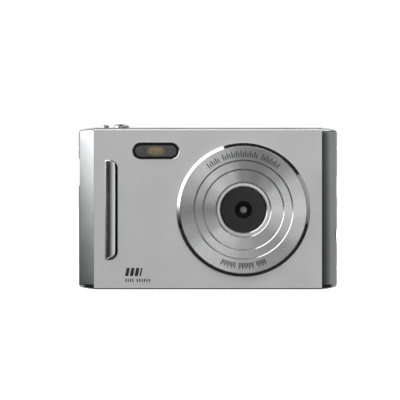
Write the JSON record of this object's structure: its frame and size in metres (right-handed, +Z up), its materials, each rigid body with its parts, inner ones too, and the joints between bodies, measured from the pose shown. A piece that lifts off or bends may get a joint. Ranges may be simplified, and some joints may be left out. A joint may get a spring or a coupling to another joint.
{
  "type": "compact digital camera",
  "caption": "Slim compact digital camera: satin silver front, stepped metal rings around a small fixed lens, flash, finger grip bar, rear display and keys, battery door.",
  "frame": {"origin": "middle of the base, at the middle of the whole width and depth", "axes": "+Z up, -Y towards the subject (the lens side), +Y towards the display, +X to the right as seen from the front"},
  "size_m": [0.095, 0.022, 0.0607],
  "materials": {
    "satin_silver": "satin, fine blasted grain",
    "case_plastic": "satin silver paint on plastic",
    "mirror_caps": "dark plated mirror finish",
    "chrome": "polished",
    "turned_metal": "fine turned lines about the lens axis",
    "black_gloss": "polished black",
    "black_plastic": "matt",
    "key_plastic": "satin silver",
    "optical_glass": "coated",
    "clear_plastic": "clear",
    "reflector": "vacuum metallised",
    "phosphor": "yellow phosphor",
    "silicon": "moulded black",
    "circuit_board": "green solder mask",
    "screen": "dark panel",
    "steel": "bright",
    "ribbon": "amber film",
    "rubber": "matt",
    "battery_sleeve": "printed sleeve, no lettering",
    "gold": "gold plated",
    "brass": "turned",
    "black_steel": "black oxide"
  },
  "bodies": {
    "camera": {"front_panel": "satin_silver", "front_shell": "case_plastic", "rear_shell": "case_plastic", "top_cover": "case_plastic", "end_cap_left": "mirror_caps", "end_cap_right": "mirror_caps", "case_screws": "black_steel", "lens_housing": "black_plastic", "lens_trim_ring": "chrome", "lens_outer_ring": "turned_metal", "lens_middle_ring": "turned_metal", "lens_inner_ring": "turned_metal", "lens_bezel": "turned_metal", "lens_window": "black_gloss", "lens_barrel": "black_plastic", "lens_front_element": "optical_glass", "lens_rear_element": "optical_glass", "lens_mount": "black_plastic", "infrared_filter": "optical_glass", "image_sensor": "silicon", "sensor_board": "circuit_board", "flash_bezel": "black_gloss", "flash_window": "clear_plastic", "flash_reflector": "reflector", "flash_lamp": "phosphor", "flash_board": "circuit_board", "grip_bar": "mirror_caps", "shutter_switch": "silicon", "power_switch": "silicon", "button_board": "circuit_board", "display_window": "black_gloss", "display_panel": "screen", "display_frame": "steel", "display_ribbon": "ribbon", "zoom_pin": "steel", "key_board": "circuit_board", "status_lamp": "clear_plastic", "main_board": "circuit_board", "processor": "silicon", "speaker": "black_plastic", "battery": "battery_sleeve", "battery_holder": "black_plastic", "battery_contacts": "gold", "door_pin": "steel", "card_socket": "steel", "usb_port": "steel", "tripod_socket": "brass", "strap_bar": "steel"},
    "shutter": {"shutter_button": "chrome"},
    "power": {"power_button": "chrome"},
    "play_key": {"play_button": "key_plastic"},
    "mode_key": {"mode_button": "key_plastic"},
    "menu_key": {"menu_button": "key_plastic"},
    "delete_key": {"delete_button": "key_plastic"},
    "ok_key": {"ok_button": "chrome"},
    "pad_seat": {"navigation_seat": "rubber"},
    "pad": {"navigation_pad": "key_plastic"},
    "zoom": {"zoom_rocker": "key_plastic"},
    "door": {"battery_door": "case_plastic"},
    "card": {"memory_card": "black_plastic"}
  },
  "joints": [
    {"name": "shutter_press", "type": "slide", "parent": "camera", "child": "shutter", "axis": [0, 0, -1], "range_m": [0, 0.0005], "stiffness_N_per_m": 400, "springref_m": -0.001},
    {"name": "power_press", "type": "slide", "parent": "camera", "child": "power", "axis": [0, 0, -1], "range_m": [0, 0.0005], "stiffness_N_per_m": 400, "springref_m": -0.001},
    {"name": "play_press", "type": "slide", "parent": "camera", "child": "play_key", "axis": [0, -1, 0], "range_m": [0, 0.00035], "stiffness_N_per_m": 400, "springref_m": -0.001},
    {"name": "mode_press", "type": "slide", "parent": "camera", "child": "mode_key", "axis": [0, -1, 0], "range_m": [0, 0.00035], "stiffness_N_per_m": 400, "springref_m": -0.001},
    {"name": "menu_press", "type": "slide", "parent": "camera", "child": "menu_key", "axis": [0, -1, 0], "range_m": [0, 0.00035], "stiffness_N_per_m": 400, "springref_m": -0.001},
    {"name": "delete_press", "type": "slide", "parent": "camera", "child": "delete_key", "axis": [0, -1, 0], "range_m": [0, 0.00035], "stiffness_N_per_m": 400, "springref_m": -0.001},
    {"name": "ok_press", "type": "slide", "parent": "camera", "child": "ok_key", "axis": [0, -1, 0], "range_m": [0, 0.00035], "stiffness_N_per_m": 400, "springref_m": -0.001},
    {"name": "pad_tilt_up_down", "type": "hinge", "parent": "camera", "child": "pad_seat", "pos_m": [-0.0302, 0.00731, 0.0275], "axis": [1, 0, 0], "range_deg": [-2, 2], "stiffness_Nm_per_rad": 0.02},
    {"name": "pad_tilt_left_right", "type": "hinge", "parent": "pad_seat", "child": "pad", "pos_m": [-0.0302, 0.00793, 0.0275], "axis": [0, 0, 1], "range_deg": [-2, 2], "stiffness_Nm_per_rad": 0.02},
    {"name": "zoom_rock", "type": "hinge", "parent": "camera", "child": "zoom", "pos_m": [-0.0302, 0.0081, 0.0502], "axis": [0, 0, 1], "range_deg": [-4, 4], "stiffness_Nm_per_rad": 0.01},
    {"name": "door_hinge", "type": "hinge", "parent": "camera", "child": "door", "pos_m": [-0.0034, 0, 0.0013], "axis": [0, -1, 0], "range_deg": [0, 90]},
    {"name": "card_slide", "type": "slide", "parent": "camera", "child": "card", "axis": [1, 0, 0], "range_m": [-0.0006, 0.0155]}
  ]
}
